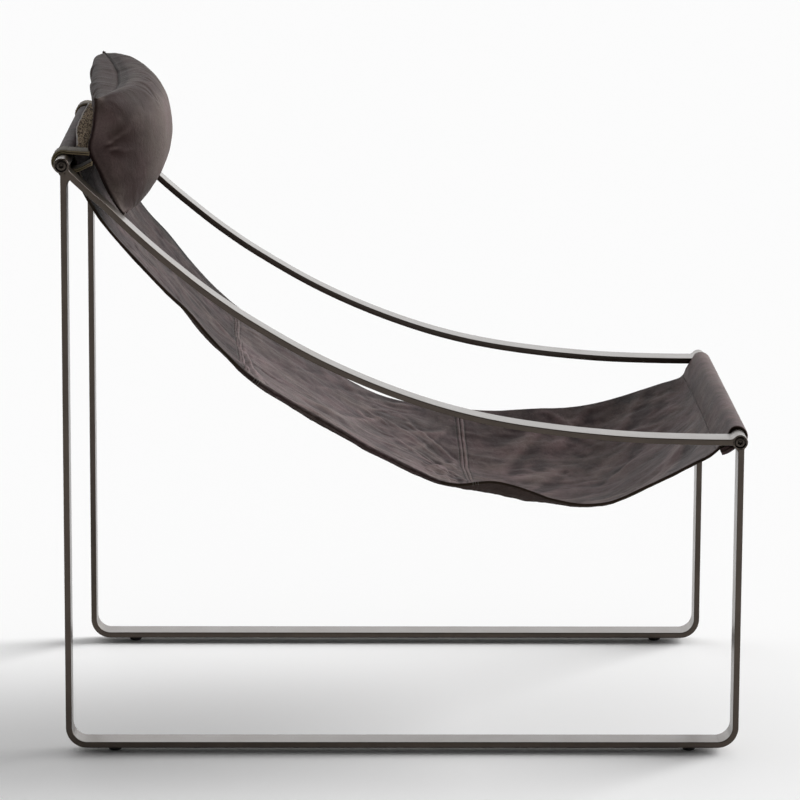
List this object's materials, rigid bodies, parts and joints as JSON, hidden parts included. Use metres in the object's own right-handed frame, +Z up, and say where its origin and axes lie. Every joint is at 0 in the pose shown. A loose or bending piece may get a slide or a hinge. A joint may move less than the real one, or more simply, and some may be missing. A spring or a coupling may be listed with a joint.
{
  "type": "leather sling lounge chair",
  "caption": "Low lounge chair: a leather sling hung between two cross tubes of a flat-bar steel frame, with a headrest pillow looped on the rear tube that flips over backwards.",
  "frame": {"origin": "middle of the chair's box, on the floor", "axes": "-Y is the front of the chair, +Z up, -X the sitter's right"},
  "size_m": [0.636, 0.913, 0.8713],
  "materials": {
    "bronze_steel": "dark bronze satin powder coat on steel",
    "black_steel": "black oxide cap screws",
    "zinc_steel": "zinc plated inserts inside the tubes",
    "nylon": "dark moulded nylon glides",
    "leather": "waxed grey-brown full-grain leather, worn and creased",
    "strap_leather": "the same leather as doubled straps, edges dark",
    "suede": "rough flesh side of the leather",
    "filling": "fibre filling, hidden",
    "zip_tape": "dark coil zip"
  },
  "bodies": {
    "frame": {"side_bar_right": "bronze_steel", "arm_rail_right": "bronze_steel", "boss_rear_right": "bronze_steel", "cap_screw_rear_right": "black_steel", "tube_insert_rear_right": "zinc_steel", "glide_rear_right": "nylon", "boss_front_right": "bronze_steel", "cap_screw_front_right": "black_steel", "tube_insert_front_right": "zinc_steel", "glide_front_right": "nylon", "side_bar_left": "bronze_steel", "arm_rail_left": "bronze_steel", "boss_rear_left": "bronze_steel", "cap_screw_rear_left": "black_steel", "tube_insert_rear_left": "zinc_steel", "glide_rear_left": "nylon", "boss_front_left": "bronze_steel", "cap_screw_front_left": "black_steel", "tube_insert_front_left": "zinc_steel", "glide_front_left": "nylon", "cross_tube_rear": "bronze_steel", "cross_tube_front": "bronze_steel", "sling_back_panel": "leather", "sling_middle_panel": "leather", "sling_seat_panel": "leather", "headrest_grip_strip": "suede"},
    "headrest": {"headrest_front_panel": "leather", "headrest_back_panel": "leather", "headrest_filling": "filling", "headrest_zip": "zip_tape", "strap_loop_right": "strap_leather", "strap_loop_left": "strap_leather"}
  },
  "joints": [
    {"name": "headrest_swing", "type": "hinge", "parent": "frame", "child": "headrest", "pos_m": [0, 0.441, 0.7819], "axis": [-1, 0, 0], "range_deg": [0, 200]}
  ]
}
